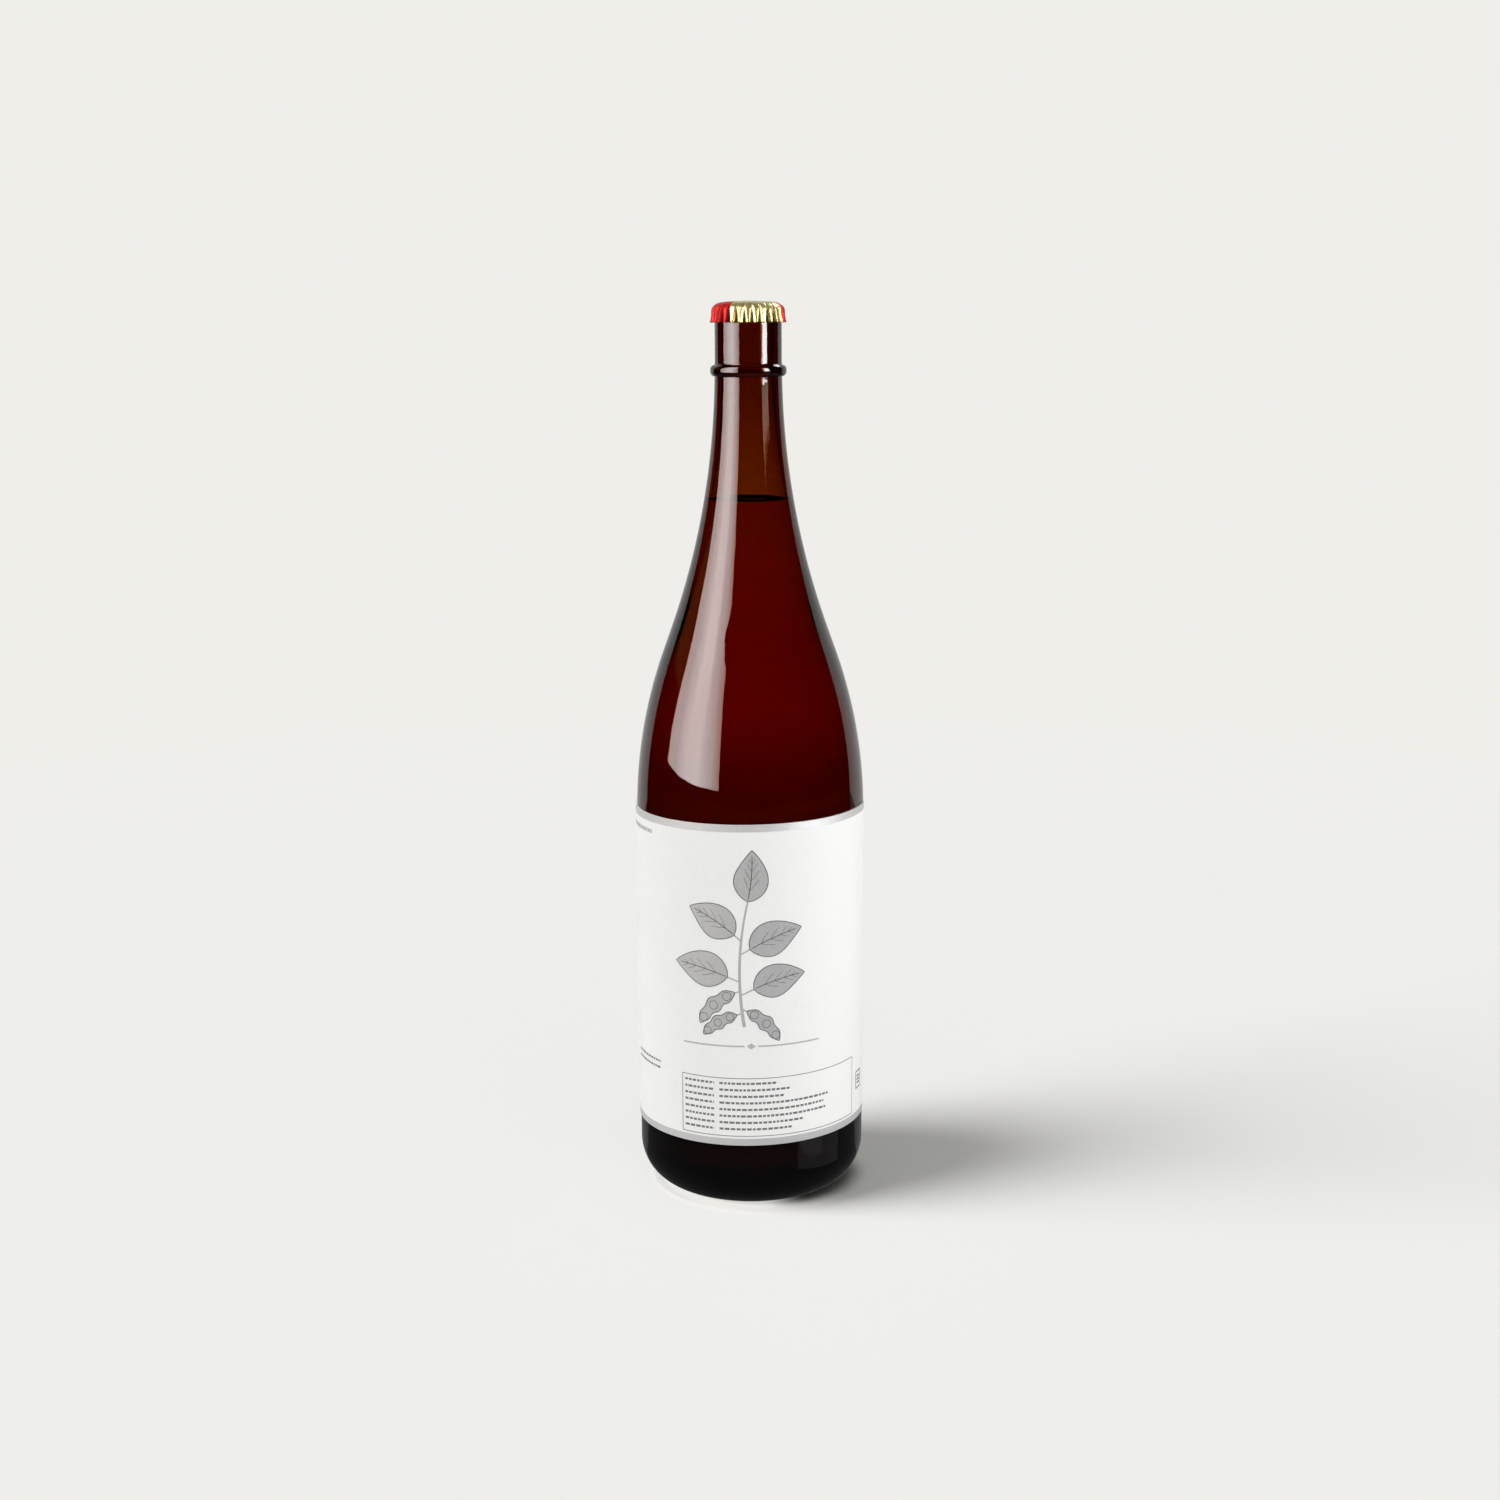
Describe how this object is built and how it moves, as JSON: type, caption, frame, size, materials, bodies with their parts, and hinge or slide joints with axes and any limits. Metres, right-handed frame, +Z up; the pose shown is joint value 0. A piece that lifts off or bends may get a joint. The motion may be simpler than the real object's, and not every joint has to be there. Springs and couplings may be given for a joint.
{
  "type": "soy sauce bottle",
  "caption": "Tall round amber glass bottle full of soy sauce, with a sloping shoulder, a long neck with a ring, a fluted metal crown cap and a white paper label on its front.",
  "frame": {"origin": "centre of the foot that the bottle stands on", "axes": "+Z up along the bottle's axis, -Y towards the front of the label"},
  "size_m": [0.1039, 0.1039, 0.4027],
  "materials": {
    "amber_glass": "smooth clear amber-brown glass",
    "sauce": "dark reddish-brown liquid, nearly opaque in this depth",
    "cap_metal": "pale gold lacquered sheet metal with red fields",
    "label_paper": "white coated paper with silver-grey bands and plain grey print"
  },
  "bodies": {
    "root": {"bottle": "amber_glass", "soy_sauce": "sauce", "crown_cap": "cap_metal", "label": "label_paper"}
  },
  "joints": []
}
